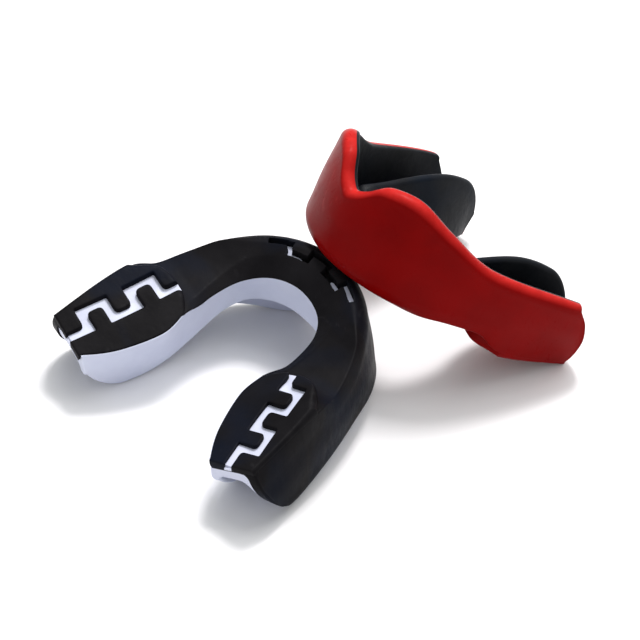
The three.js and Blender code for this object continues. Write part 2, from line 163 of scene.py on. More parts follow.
# the crease between bite face and cheek wall: inward of the outline, and its height
creaseN = softened(monotone([0, 0.36, 0.40, 0.44, 0.50, 0.60, 0.64, 0.67, 0.70, 0.74, 0.82, 1.0],
                            [-1.7, -1.65, -1.5, -1.1, -0.92, -0.68, -0.60, -0.35, -0.08, -0.08, -0.28, -0.40]), 0.012)
creaseZ = softened(monotone([0, 0.36, 0.40, 0.44, 0.48, 0.52, 0.60, 0.635, 0.665, 0.70, 0.74, 0.82, 0.90, 1.0],
                            [1.3, 1.38, 1.48, 1.75, 2.15, 2.45, 2.62, 2.35, 1.15, 0.08, -0.22, -0.60, -0.50, -0.25]), 0.012)
creaseK = softened(monotone([0, 0.26, 0.44, 0.6, 1.0], [0, 0, 1, 1, 1]), 0.02)
_g = np.linspace(0, 1, 2001)
ARCH = float(np.hypot(np.diff(archX(_g)), np.diff(archY(_g))).sum())


def rim_height(s):
    """Height of the lip and cheek rim, falling away in a round corner at the rear."""
    x = np.clip((np.asarray(s, float) - 1) * ARCH + TAIL + 0.55, 0, TAIL)
    return labial(s) - (TAIL - np.sqrt(np.clip(TAIL ** 2 - x ** 2, 0, None)))


def face(s, n):
    a, b = inBottom(s), outBottom(s)
    return faceRise(s) * np.clip((b - n) / (a + b), 0, 1)


def bite_z(s, n):
    """Plain slope of the bite face up to the crease."""
    a, e, z0, K = inBottom(s), outBottom(s) + creaseN(s), faceRise(s), creaseK(s)
    return (1 - K) * face(s, n) + K * (z0 + (creaseZ(s) - z0) * np.clip((n + a) / (a + e), 0, 1))


def front_part(s):
    """1 along the front groove, 0 along the legs."""
    f = float(np.clip((abs(s) - 0.26) / 0.06, 0, 1))
    return 1 - f * f * (3 - 2 * f)


def skin_depth(s):
    """Thickness of the coloured layer over the liner; next to nothing below a pad."""
    k = float(np.clip((s - 0.675) / 0.02, 0, 1))
    return (1 - k) * (SHELL - 0.5 * float(creaseK(s))) + k * 0.30 + 0.65 * front_part(s)


def lingual_top(s):
    k = np.clip((s - 0.87) / 0.13, 0, 1)
    return np.maximum(WEB + (lingual(s) - WEB) * np.sqrt(np.clip(1 - k * k, 0, 1)), WEB + 0.3 + faceRise(s))


def place(s, side, n, z, swept, splay):
    """Local points (N, 3) from station, side, outward offset and height arrays."""
    s, n, z = np.broadcast_arrays(np.asarray(s, float), np.asarray(n, float), np.asarray(z, float))
    q = np.clip(s, 0, 1)
    e = 1e-4
    s0, s1 = np.clip(q - e, 0, 1), np.clip(q + e, 0, 1)
    tx, ty = archX(s1) - archX(s0), archY(s1) - archY(s0)
    tx, ty = np.where(q < 1e-6, 1.0, tx), np.where(q < 1e-6, 0.0, ty)
    l = np.hypot(tx, ty)
    tx, ty = tx / l, ty / l
    over = (s - q) * ARCH
    x, y = archX(q) - ty * n + tx * over, archY(q) + tx * n + ty * over
    if swept is not False:
        w = np.clip((q - 0.8) / 0.2, 0, 1) ** 2
        k = np.clip(z / 10, 0, 1.3)
        on = 1 / (1 + np.exp(-(n - 0.0) / 0.35)) if swept == "soft" else (n > 0)
        d = w * (REAR_SWEEP[0] * k + REAR_SWEEP[1] * 4 * k * (1 - k)) * on
        x, y = x + tx * d, y + ty * d
    x = side * x
    return np.stack([x * (1 + splay[0] * y / 40) + splay[1] * y, y, z], -1)


def pad_plane(s, n):
    flat = place(np.clip(s, 0, 1), 1, n, 0, False, (0, 0))
    return PAD_PLANE[0] * flat[..., 0] + PAD_PLANE[1] * flat[..., 1] + PAD_PLANE[2]


def white_line(s):
    """Where the liner starts on the tongue side: just under the bite face, or under the pad."""
    a = float(inBottom(s))
    k = float(np.clip((s - 0.673) / 0.004, 0, 1))
    k = k * k * (3 - 2 * k)
    return (1 - k) * (float(faceRise(s)) + SKIN_EDGE) + k * (float(pad_plane(s, -a)) + SKIN_EDGE)


# ------------------------------------------------------------------ sections
def corner_arc(p0, p1, p2, r, count, cap=0.49):
    """Points of a true arc that rounds the corner p1 between p0 and p2."""
    p0, p1, p2 = (np.array(p, float) for p in (p0, p1, p2))
    u, v = p0 - p1, p2 - p1
    lu, lv = math.hypot(*u), math.hypot(*v)
    u, v = u / lu, v / lv
    ang = math.acos(max(-1, min(1, float(u @ v))))
    t = min(r / math.tan(ang / 2), cap * min(lu, lv))
    r = t * math.tan(ang / 2)
    bis = (u + v) / np.linalg.norm(u + v)
    c = p1 + bis * (r / math.sin(ang / 2))
    a0, a1 = p1 + u * t - c, p1 + v * t - c
    t0, t1 = math.atan2(a0[1], a0[0]), math.atan2(a1[1], a1[0])
    d = (t1 - t0 + math.pi) % (2 * math.pi) - math.pi
    return np.array([c + r * np.array([math.cos(t0 + d * k / (count - 1)), math.sin(t0 + d * k / (count - 1))])
                     for k in range(count)])


def between(p, q, count):
    return np.array([p + (q - p) * (k + 1) / (count + 1) for k in range(count)]).reshape(-1, 2)


def section(corners, radii, arcs, runs):
    """Closed section: true arcs at the corners and evenly split runs between them."""
    P = [np.array(c, float) for c in corners]
    m, ends = len(P), []
    for i in range(m):
        p0, p1, p2 = P[i - 1], P[i], P[(i + 1) % m]
        u, v = p0 - p1, p2 - p1
        lu, lv = math.hypot(*u), math.hypot(*v)
        u, v = u / lu, v / lv
        if arcs[i] < 2:
            ends.append([p1])
            continue
        ang = math.acos(max(-1, min(1, float(u @ v))))
        t = min(radii[i] / math.tan(ang / 2), 0.49 * min(lu, lv))
        r = t * math.tan(ang / 2)
        bis = (u + v) / np.linalg.norm(u + v)
        c = p1 + bis * (r / math.sin(ang / 2))
        a0, a1 = p1 + u * t - c, p1 + v * t - c
        t0, t1 = math.atan2(a0[1], a0[0]), math.atan2(a1[1], a1[0])
        d = (t1 - t0 + math.pi) % (2 * math.pi) - math.pi
        ends.append([c + r * np.array([math.cos(t0 + d * k / (arcs[i] - 1)), math.sin(t0 + d * k / (arcs[i] - 1))])
                     for k in range(arcs[i])])
    out, first = [], []
    for i in range(m):
        first.append(len(out))
        out += ends[i]
        q0, q1 = ends[i][-1], ends[(i + 1) % m][0]
        out += [q0 + (q1 - q0) * (k + 1) / (runs[i] + 1) for k in range(runs[i])]
    return np.array(out), first


def ridge(s, n):
    """Soft crest along the bite face, proud of the plain slope."""
    a, b = float(inBottom(s)), float(outBottom(s))
    nr, A = float(ridgeN(s)), float(ridgeA(s))
    nr = max(nr, -a + 1.2)
    x1 = (n + a) / (nr + a)
    x2 = (b - n) / (b - nr)
    k = 0.06
    t = -k * np.log(np.exp(-x1 / k) + np.exp(-x2 / k))
    return A * np.clip(t, 0, 1)


def shell_section(s):
    a, b, d, ho, za = (float(f(s)) for f in (inBottom, outBottom, outRim, rim_height, faceRise))
    hide = 0.7 * float(np.clip((s - 0.6725) / 0.002, 0, 1))   # under a pad the edge draws back
    sf = skin_depth(s)
    nb, top = b - SHELL - 0.5, np.array([d + RIM_OUT, ho])
    foot, tongue = np.array([b, 0.0]), np.array([-a, za])
    # lip-side rounding at the front, a crease and a long swell along the legs
    soft = corner_arc(tongue, foot, top, 2.8, 26)
    w = (top - foot) / np.linalg.norm(top - foot)
    m = np.array([-w[1], w[0]])
    C = np.array([b + float(creaseN(s)), float(creaseZ(s))])
    T = foot + w * max(3.4, C[1] + 3.2)
    R = float((C - T) @ (C - T) / (2 * max((C - T) @ m, 0.04)))
    c = T + m * R
    aC, aT = math.atan2(*(C - c)[::-1]), math.atan2(*(T - c)[::-1])
    swell = lambda q: c + R * np.array([math.cos(aC + (aT - aC) * q), math.sin(aC + (aT - aC) * q)])
    arc_len = abs(R * (aT - aC))
    q0 = 0.3 / arc_len
    p0 = C + (tongue - C) / np.linalg.norm(tongue - C) * 0.35
    bend = [(1 - q) ** 2 * p0 + 2 * q * (1 - q) * C + q * q * swell(q0) for q in np.linspace(0, 1, 6)]
    hard = np.array(bend + [swell(q0 + (1 - q0) * k / 20) for k in range(1, 21)])
    K = float(creaseK(s))
    P = (1 - K) * soft + K * hard
    tongue = tongue + (P[0] - tongue) / np.linalg.norm(P[0] - tongue) * hide
    low = corner_arc((tongue[0], tongue[1] + SHELL), tongue, P[0], 0.18, 5)
    rim = corner_arc(P[-1], top, (d - RIM_IN, ho), 2.3, 18, 0.93)
    edge = np.array([tongue[0] + 0.02, tongue[1] + min(SKIN_EDGE, 0.7 * sf) + 0.10])
    inner = corner_arc((d - RIM_IN, ho), (nb, float(bite_z(s, nb)) + sf), (-a, za + sf), 1.4, 6)
    bond, lip = np.array([d - RIM_IN, ho]), np.array([-a + hide + 0.9, float(bite_z(s, -a + hide + 0.9)) + sf])
    wall = between(P[-1], rim[0], 34)
    wall[:, 0] += 0.22 * np.sin(np.pi * np.linspace(0, 1, 36)[1:-1]) ** 2
    runs = [low, between(low[-1], P[0], 70), P, wall, rim, between(rim[-1], bond, 2), bond[None],
            between(bond, inner[0], 10), inner, between(inner[-1], lip, 10), lip[None], between(lip, edge, 3), edge[None]]
    pts = np.concatenate(runs)
    at = np.cumsum([0] + [len(r) for r in runs])
    bottom = np.zeros(len(pts), bool)
    bottom[:at[3]] = True
    pts[:at[3], 1] -= ridge(s, pts[:at[3], 0])
    w = np.ones(len(pts))       # none on the bond face, where the end is rounded off
    w[at[6]:at[12]] = 0.0
    return pts, w, bottom


def liner_section(s):
    a, b, c, d, ho, hi = (float(f(s)) for f in (inBottom, outBottom, inRim, outRim, rim_height, lingual_top))
    za, nb, no, ni = float(faceRise(s)), b - SHELL - 0.5, b - WALL_OUT - 0.2, -a + WALL_IN + 0.2
    wl, deep, nk, f = white_line(s), float(bite_z(s, nb)) + skin_depth(s), -a + 1.2, front_part(s)
    plain = wl + (deep - wl) * 1.2 / (nb + a)
    knee = (1 - f) * plain + f * (float(bite_z(s, nk)) + skin_depth(s))
    pts, first = section(
        [(-a, wl), (nk, knee), (nb, deep), (d - RIM_IN, ho), (d - WALL_OUT - 0.1, ho - 0.1),
         (no, max(float(face(s, no)) + WEB, float(bite_z(s, no)) + skin_depth(s) + 0.8)),
         (ni, float(face(s, ni)) + WEB), (-c + WALL_IN, hi), (-c, hi)],
        [0, 0, 1.4, 0, 0.35, 1.6, 1.6, 1.0, 1.0], [1, 1, 6, 1, 4, 8, 8, 9, 9], [3, 8, 10, 1, 22, 10, 22, 1, 22])
    w = np.ones(len(pts))
    w[first[0]:first[3] + 1] = 0.0
    return pts, w, None


# ------------------------------------------------------------------ meshes
def to_world(local, guard):
    R = np.array(guard["rot"]).reshape(3, 3)
    return (local @ R.T + np.array(guard["pos"])) * MM


def volume(v, tris):
    p = v[tris]
    return float(np.einsum("ij,ij->i", p[:, 0], np.cross(p[:, 1], p[:, 2])).sum())


def make_object(name, verts, faces, angle=35):
    tris = np.array([[f[0], f[i], f[i + 1]] for f in faces if len(f) < 8 for i in range(1, len(f) - 1)])
    if volume(verts, tris) < 0:
        faces = [f[::-1] for f in faces]
    mesh = bpy.data.meshes.new(name + "_surface")
    mesh.from_pydata([tuple(map(float, p)) for p in verts], [], [tuple(map(int, f)) for f in faces])
    mesh.validate()
    mesh.shade_smooth()
    mesh.set_sharp_from_angle(angle=math.radians(angle))
    ob = bpy.data.objects.new(name + "_surface", mesh)
    bpy.context.scene.collection.objects.link(ob)
    return ob


def dense_stations(fine, coarse, fine_to):
    front = np.linspace(0, fine_to, max(2, int(fine_to * ARCH / fine)))
    mid = np.linspace(fine_to, 0.87, int((0.87 - fine_to) * ARCH / coarse))[1:]
    rear = 0.87 + 0.13 * np.sin(np.linspace(0, math.pi / 2, 44))[1:]
    return np.concatenate([front, mid, rear])


def groove_sd(u, n, poly):
    """Signed distance of points to a closed polygon, positive inside."""
    p, q = poly, np.roll(poly, -1, 0)
    best = np.full(len(u), 1e9)
    inside = np.zeros(len(u), bool)
    for (x0, y0), (x1, y1) in zip(p, q):
        dx, dy = x1 - x0, y1 - y0
        L = dx * dx + dy * dy + 1e-12
        t = np.clip(((u - x0) * dx + (n - y0) * dy) / L, 0, 1)
        best = np.minimum(best, (u - x0 - t * dx) ** 2 + (n - y0 - t * dy) ** 2)
        if y0 != y1:
            c = ((y0 > n) != (y1 > n)) & (u < (x1 - x0) * (n - y0) / (y1 - y0) + x0)
            inside ^= c
    return np.where(inside, 1, -1) * np.sqrt(best)


def line_distance(pts, line):
    p, q = line[:-1], line[1:]
    best = np.full(len(pts), 1e9)
    for (x0, y0), (x1, y1) in zip(p, q):
        dx, dy = x1 - x0, y1 - y0
        t = np.clip(((pts[:, 0] - x0) * dx + (pts[:, 1] - y0) * dy) / (dx * dx + dy * dy + 1e-12), 0, 1)
        best = np.minimum(best, (pts[:, 0] - x0 - t * dx) ** 2 + (pts[:, 1] - y0 - t * dy) ** 2)
    return np.sqrt(best)


def resample(line, step):
    line = np.asarray(line, float)
    d = np.concatenate([[0], np.cumsum(np.hypot(*np.diff(line, axis=0).T))])
    n = max(2, int(math.ceil(d[-1] / step)) + 1)
    at = np.linspace(0, d[-1], n)
    return np.stack([np.interp(at, d, line[:, k]) for k in range(2)], 1)


def blurred(line, width, step):
    """An open line resampled and blurred along its length, ends kept."""
    line = resample(line, step)
    k = int(3 * width / step)
    if k < 1:
        return line
    pad = np.concatenate([2 * line[0] - line[k:0:-1], line, 2 * line[-1] - line[-2:-k - 2:-1]])
    w = np.exp(-0.5 * (np.arange(-k, k + 1) * step / width) ** 2)
    w /= w.sum()
    return np.stack([np.convolve(pad[:, i], w, "valid") for i in range(2)], 1)


def round_corners(line, corner):
    """Rounds the listed corners {index: radius} of an open line of (u, n) points."""
    out = [np.array(line[0], float)]
    for i in range(1, len(line) - 1):
        p = np.array(line[i], float)
        if i not in corner:
            out.append(p)
            continue
        a, b = np.array(line[i - 1], float) - p, np.array(line[i + 1], float) - p
        r = min(corner[i], 0.49 * np.linalg.norm(a), 0.49 * np.linalg.norm(b))
        a, b = p + a / np.linalg.norm(a) * r, p + b / np.linalg.norm(b) * r
        for q in np.linspace(0, 1, 8):
            out.append((1 - q) ** 2 * a + 2 * q * (1 - q) * p + q * q * b)
    out.append(np.array(line[-1], float))
    return np.array(out)


def front_strip(h):
    """Closed outline, in (u, n), of the stepped front groove with half width h."""
    c = [-v for v in reversed(FRONT_CROSS)] + FRONT_CROSS
    up, low, lane = [], [], 0
    lanes, E = FRONT_LANES, FRONT_END * ARCH
    up.append((-E - h, lanes[0] + h)); low.append((-E - h, lanes[0] - h))
    for v in c:
        nxt = 1 - lane
        rising = lanes[nxt] > lanes[lane]
        su, sl = (v * ARCH - h, v * ARCH + h) if rising else (v * ARCH + h, v * ARCH - h)
        up += [(su, lanes[lane] + h), (su, lanes[nxt] + h)]
        low += [(sl, lanes[lane] - h), (sl, lanes[nxt] - h)]
        lane = nxt
    up.append((E + h, lanes[lane] + h)); low.append((E + h, lanes[lane] - h))

    def tabs(line, sign):
        turn = {}
        for i in range(1, len(line) - 1):
            p, a, b = np.array(line[i]), np.array(line[i - 1]), np.array(line[i + 1])
            cr = (p - a)[0] * (b - p)[1] - (p - a)[1] * (b - p)[0]
            if cr * sign > 0:
                turn[i] = 0.55
        return round_corners(line, turn)
    # the corners of the black tabs are rounded, the notch corners stay sharp
    return np.array(list(tabs(up, 1)) + list(tabs(low, -1))[::-1])


STRIP_CUT = front_strip(FRONT_HALF)
STRIP_IN = front_strip(FRONT_HALF - 0.035)


def loft(name, fn, stations, guard, groove=False, back=0.0):
    splay = guard["splay"]
    S = np.concatenate([-stations[:0:-1], stations])
    secs = {}
    r = 0.45
    for s in stations:
        secs[round(float(s), 7)] = fn(float(s) * (1 - (r + back) / ARCH))
    rings = []          # (signed s, side, section points)
    for s in S:
        pts, w, bottom = secs[round(abs(float(s)), 7)]
        rings.append((float(s), pts, bottom, 0.0))
    # rounded ends: the last stations move back by r, then the section is drawn in
    def inward(pts):
        t = np.roll(pts, -1, 0) - np.roll(pts, 1, 0)
        t /= np.linalg.norm(t, axis=1)[:, None] + 1e-12
        nrm = np.stack([-t[:, 1], t[:, 0]], 1)
        area = 0.5 * np.sum(pts[:, 0] * np.roll(pts[:, 1], -1) - np.roll(pts[:, 0], -1) * pts[:, 1])
        return nrm if area > 0 else -nrm
    rows = []
    for s, pts, bottom, _ in rings:
        side = 1 if s >= 0 else -1
        a = abs(s)
        q = a * (1 - (r + back) / ARCH)          # leave room for the rounded end
        P = pts
        z = P[:, 1].copy()
        if groove and a < 0.34:
            near = bottom & (P[:, 0] > -2.5) & (P[:, 0] < 3.6)
            sd = groove_sd(np.full(near.sum(), s * ARCH), P[near, 0], STRIP_CUT)
            f = np.clip((sd + 0.10) / 0.16, 0, 1)
            f = f * f * (3 - 2 * f)
            z[near] += FRONT_CUT * f
        rows.append(place(q, side, P[:, 0], z, "soft", splay))
    pts, w, _ = secs[round(1.0, 7)]
    nrm = inward(pts) * w[:, None]
    ends = []
    for th in np.linspace(0, math.pi / 2, 7)[1:]:
        P = pts + nrm * r * (1 - math.cos(th))
        ends.append((1 - (r + back) / ARCH + r * math.sin(th) / ARCH, P))
    tail = [place(q, 1, P[:, 0], P[:, 1], "soft", splay) for q, P in ends]
    head = [place(q, -1, P[:, 0], P[:, 1], "soft", splay) for q, P in ends][::-1]
    rows = np.array(head + rows + tail)
    N, m = rows.shape[:2]
    verts = to_world(rows.reshape(-1, 3), guard)
    i, j = np.meshgrid(np.arange(N - 1), np.arange(m), indexing="ij")
    j2 = (j + 1) % m
    quads = np.stack([i * m + j, i * m + j2, (i + 1) * m + j2, (i + 1) * m + j], -1).reshape(-1, 4)
    faces = quads.tolist()
    # the end faces are hollow curves, so they are cut into triangles in the section's plane
    E = ends[-1][1]
    turn = float((E[:, 0] * np.roll(E[:, 1], -1) - np.roll(E[:, 0], -1) * E[:, 1]).sum())
    for tri in tessellate_polygon([[Vector((float(x), float(y), 0.0)) for x, y in E]]):
        a, b, c = (E[k] for k in tri)
        area = float((b[0] - a[0]) * (c[1] - a[1]) - (b[1] - a[1]) * (c[0] - a[0]))
        tri = list(tri) if area * turn > 0 else list(tri)[::-1]
        faces.append(tri[::-1])
        faces.append([(N - 1) * m + k for k in tri])
    tri = np.concatenate([quads[:, [0, 1, 2]], quads[:, [0, 2, 3]]])
    if volume(verts, tri) < 0:
        faces = [f[::-1] for f in faces]
    return make_object(name, verts, faces)


# -- bite pads: a flat plan is triangulated, then raised to a rounded top
PAD_CHEEK = monotone([0.66, 0.70, 0.74, 0.78, 0.82, 0.86, 0.90, 0.94, 0.98, 1.0], [2.9, 4.35, 4.75, 4.55, 4.25, 3.8, 3.4, 2.9, 2.35, 2.05])


def pad_lines():
    """Outline runs of a bite pad, in (u, n). The cheek side runs on to the wall."""
    U = ARCH
    cheek = [(s * U, float(outBottom(s) + creaseN(s)) + 0.03) for s in np.linspace(0.985, 0.722, 44)]
    nose = blurred([cheek[-1], (0.708 * U, 5.45), (0.692 * U, 4.75), (0.675 * U, 4.0),
                    (0.658 * U, 3.15), (0.646 * U, 2.1), (0.638 * U, 0.8), (0.632 * U, -0.7), (0.630 * U, -2.2),
                    (0.630 * U, -3.7), (0.634 * U, -5.1), (0.644 * U, -6.5), (0.664 * U, -float(inBottom(0.664)) + 0.05)], 0.5, 0.15)
    tongue = [(s * U, -(float(inBottom(s)) - 0.05)) for s in np.linspace(0.664, 0.990, 50)]
    e = U
    nc, nt = cheek[0][1], tongue[-1][1]
    rear = round_corners([tongue[-1], (e, nt + 0.10), (e, nc - 0.10), cheek[0]], {1: 0.35, 2: 0.8})
    return dict(cheek=resample(cheek, 0.25), nose=nose, tongue=resample(tongue, 0.25), rear=resample(rear, 0.12))


def zig_edge(shift, corner):
    U, h = ARCH, shift
    c1, c2, c3, c4 = (c * U for c in ZIG_CROSS)
    nl, nb = ZIG_IN + shift, ZIG_OUT + shift
    line = [(1.06 * U, nl), (c1 + h, nl), (c1 + h, nb), (c2 - h, nb), (c2 - h, nl),
            (c3 + h, nl), (c3 + h, nb), (c4 - h, nb), (c4 - h, nl), (0.57 * U, nl)]
    tab = [2, 3, 6, 7] if shift < 0 else [1, 4, 5, 8]
    notch = [1, 4, 5, 8] if shift < 0 else [2, 3, 6, 7]
    r = {i: corner for i in tab}
    r.update({i: 0.18 for i in notch})
    if shift < 0:               # the tongue half turns away in a round corner at the nose
        line[9:] = [(0.637 * U, nl), (0.628 * U, nl - 1.5)]
        r[9] = 0.9
    return resample(round_corners(line, r), 0.16)


def offset_line(line, d):
    t = np.gradient(line, axis=0)
    t /= np.linalg.norm(t, axis=1)[:, None] + 1e-12
    return line + np.stack([-t[:, 1], t[:, 0]], 1) * d


def triangulate(loops, lines, points):
    verts, edges = [], []
    for L, closed in [(l, True) for l in loops] + [(l, False) for l in lines]:
        k0 = len(verts)
        verts += [Vector((float(p[0]), float(p[1]))) for p in L]
        n = len(L)
        edges += [(k0 + i, k0 + i + 1) for i in range(n - 1)]
        if closed:
            edges.append((k0 + n - 1, k0))
    verts += [Vector((float(p[0]), float(p[1]))) for p in points]
    v, e, f, *_ = delaunay_2d_cdt(verts, edges, [], 0, 1e-5)
    return np.array([(p.x, p.y) for p in v]), np.array([list(t) for t in f if len(t) == 3])


def rounding(D, r):
    x = np.clip(D / r, 0, 1)
    return r * (1 - np.sqrt(np.clip(1 - (1 - x) ** 2, 0, 1)))


_low = {}


def skin_z(s, n):
    """Height of the shell's lower skin at station s (array) and offset n (array)."""
    out = np.zeros(len(s))
    for i, (si, ni) in enumerate(zip(s, n)):
        k = round(abs(float(si)) * 500)
        if k not in _low:
            pts, _, bottom = shell_section(min(k / 500, 1.0))
            lo = pts[bottom]
            keep = np.concatenate([[True], np.diff(np.maximum.accumulate(lo[:, 0])) > 1e-6])
            _low[k] = lo[keep]
        lo = _low[k]
        out[i] = np.interp(ni, lo[:, 0], lo[:, 1])
    return out


def slab(name, pts, tris, top, bottom, side, guard):
    """Closed solid from a triangulated plan with top and bottom heights."""
    used = np.unique(tris)
    back = -np.ones(len(pts), int); back[used] = np.arange(len(used))
    P, T = pts[used], back[tris]
    zt, zb = top[used], bottom[used]
    s, n = P[:, 0] / ARCH, P[:, 1]
    sg = np.sign(s) if side == 0 else np.full(len(s), side)
    sg = np.where(sg == 0, 1, sg)
    A = place(np.abs(s), sg, n, zt, False, guard["splay"])
    B = place(np.abs(s), sg, n, zb, False, guard["splay"])
    k = len(P)
    count = {}
    for t in T:
        for a, b in ((t[0], t[1]), (t[1], t[2]), (t[2], t[0])):
            count[(a, b)] = count.get((a, b), 0) + 1
    faces = T.tolist() + (T[:, ::-1] + k).tolist()
    for (a, b) in list(count):
        if (b, a) not in count:
            faces.append([b, a, a + k, b + k])
    return make_object(name, to_world(np.concatenate([A, B]), guard), faces, 42)


PAD = None


def pad_plan():
    global PAD
    if PAD is not None:
        return PAD
    L = pad_lines()
    outline = np.concatenate([L["cheek"][:-1], L["nose"][:-1], L["tongue"][:-1], L["rear"][:-1]])
    zl, zc = zig_edge(-ZIG_HALF, 0.95), zig_edge(ZIG_HALF, 0.95)
    area = 0.5 * np.sum(outline[:, 0] * np.roll(outline[:, 1], -1) - np.roll(outline[:, 0], -1) * outline[:, 1])
    sgn = 1 if area > 0 else -1
    lines = [zl, zc]
    closed = np.concatenate([outline, outline[:1]])
    for d in (0.08, 0.2, 0.38, 0.65):
        lines.append(offset_line(closed, sgn * d))
    for d in (1.0, 1.4, 1.9):
        lines.append(offset_line(L["cheek"], sgn * d))
    # the groove edges run toward smaller u, so +n side lies on one fixed hand
    for d in (0.07, 0.16, 0.3):
        lines.append(offset_line(zl, d) if offset_line(zl, d)[0, 1] < zl[0, 1] else offset_line(zl, -d))
        lines.append(offset_line(zc, d) if offset_line(zc, d)[0, 1] > zc[0, 1] else offset_line(zc, -d))
    u, n = np.meshgrid(np.arange(0.62 * ARCH, ARCH, 0.45), np.arange(-11, 7, 0.45), indexing="ij")
    grid = np.stack([u.ravel(), n.ravel()], 1)
    sd = groove_sd(grid[:, 0], grid[:, 1], outline)
    dz = np.minimum(line_distance(grid, zl), line_distance(grid, zc))
    grid = grid[(sd > 0.8) & (dz > 0.4)]
    pts, tris = triangulate([outline], lines, grid)
    c = pts[tris].mean(1)
    inside = groove_sd(c[:, 0], c[:, 1], outline) > 0
    far = 40
    low_poly = np.concatenate([zl, [[0.57 * ARCH, -far], [1.06 * ARCH, -far]]])
    high_poly = np.concatenate([zc, [[0.57 * ARCH, far], [1.06 * ARCH, far]]])
    tongue = inside & (groove_sd(c[:, 0], c[:, 1], low_poly) > 0)
    cheek = inside & (groove_sd(c[:, 0], c[:, 1], high_poly) > 0)
    strip = inside & ~tongue & ~cheek
    PAD = dict(L=L, zl=zl, zc=zc, pts=pts, tris=tris, tongue=tongue, cheek=cheek, strip=strip)
    return PAD


def pad_pieces(prefix, hand, side, guard):
    D = pad_plan()
    pts, tris = D["pts"], D["tris"]
    s, n = pts[:, 0] / ARCH, pts[:, 1]
    sc = np.clip(s, 0, 1)
    plane = pad_plane(sc, n)
    base = skin_z(sc, n)
    L = D["L"]
    d_nose, d_tongue, d_rear = (line_distance(pts, L[k]) for k in ("nose", "tongue", "rear"))
    soft = np.clip((n - 1.5) / 3.5, 0, 1)
    r_nose = 0.6 + 1.3 * soft * soft * (3 - 2 * soft)
    edge = np.maximum.reduce([rounding(d_nose, r_nose), rounding(d_tongue, 0.28), rounding(d_rear, 0.28)])
    # past the flat top's cheek edge the pad runs down steeply into the wall
    rim = outBottom(sc) + creaseN(sc) + 0.03
    reach = np.clip(rim - PAD_CHEEK(np.clip(sc, 0.66, 1)), 0.8, 2.6)
    t = np.clip((rim - n) / reach, 0, 1)
    cheek_top = base + 0.02 + (plane - base - 0.02) * (1 - (1 - t) ** 1.5) ** (1 / 1.5)
    made = []
    deep = base + 0.2
    # along the tongue side only a thin skin shows, over the liner
    k = np.clip(d_tongue / 0.9, 0, 1)
    grid_s = np.linspace(0.6, 1.0, 201)
    line_z = np.interp(sc, grid_s, [white_line(float(q)) for q in grid_s])
    for part, line in (("cheek", D["zc"]), ("tongue", D["zl"])):
        top = np.maximum(plane + np.maximum(edge, rounding(line_distance(pts, line), 0.26)), cheek_top)
        top = np.minimum(top, base + 0.6)
        bottom = np.maximum((1 - k) * (line_z + 0.06) + k * deep, top + 0.04)
        made.append(slab(f"{prefix}_{hand}_bite_pad_{part}_half", pts, tris[D[part]], top, bottom, side, guard))
    deep = base + 0.15
    top = np.minimum(np.maximum(plane + GROOVE, cheek_top + 0.5), base - 0.10)
    top = np.maximum(top, plane + 0.5 * GROOVE)
    made.append(slab(f"{prefix}_{hand}_pad_inlay", pts, tris[D["strip"]], top, deep, side, guard))
    return made


def front_inlay(prefix, guard):
    u, n = np.meshgrid(np.arange(-0.28 * ARCH, 0.28 * ARCH, 0.3), np.arange(-1.4, 2.8, 0.25), indexing="ij")
    grid = np.stack([u.ravel(), n.ravel()], 1)
    loop = []
    for a, b in zip(STRIP_IN, np.roll(STRIP_IN, -1, 0)):
        loop += list(resample([a, b], 0.2)[:-1])
    loop = np.array(loop)
    grid = grid[groove_sd(grid[:, 0], grid[:, 1], loop) > 0.12]
    pts, tris = triangulate([loop], [], grid)
    c = pts[tris].mean(1)
    tris = tris[groove_sd(c[:, 0], c[:, 1], loop) > 0]
    base = skin_z(pts[:, 0] / ARCH, pts[:, 1])
    dip = 0.45 * np.clip(1 - (pts[:, 0] / ARCH / 0.105) ** 4, 0, 1)     # it sinks in the middle
    return slab(f"{prefix}_front_inlay", pts, tris, base + FRONT_FLOOR + dip, base + FRONT_FLOOR + dip + 0.6, 0, guard)


# ------------------------------------------------------------------ materials
def srgb(r, g, b):
    f = lambda c: c / 255 / 12.92 if c / 255 <= 0.04045 else ((c / 255 + 0.055) / 1.055) ** 2.4
    return (f(r), f(g), f(b), 1.0)


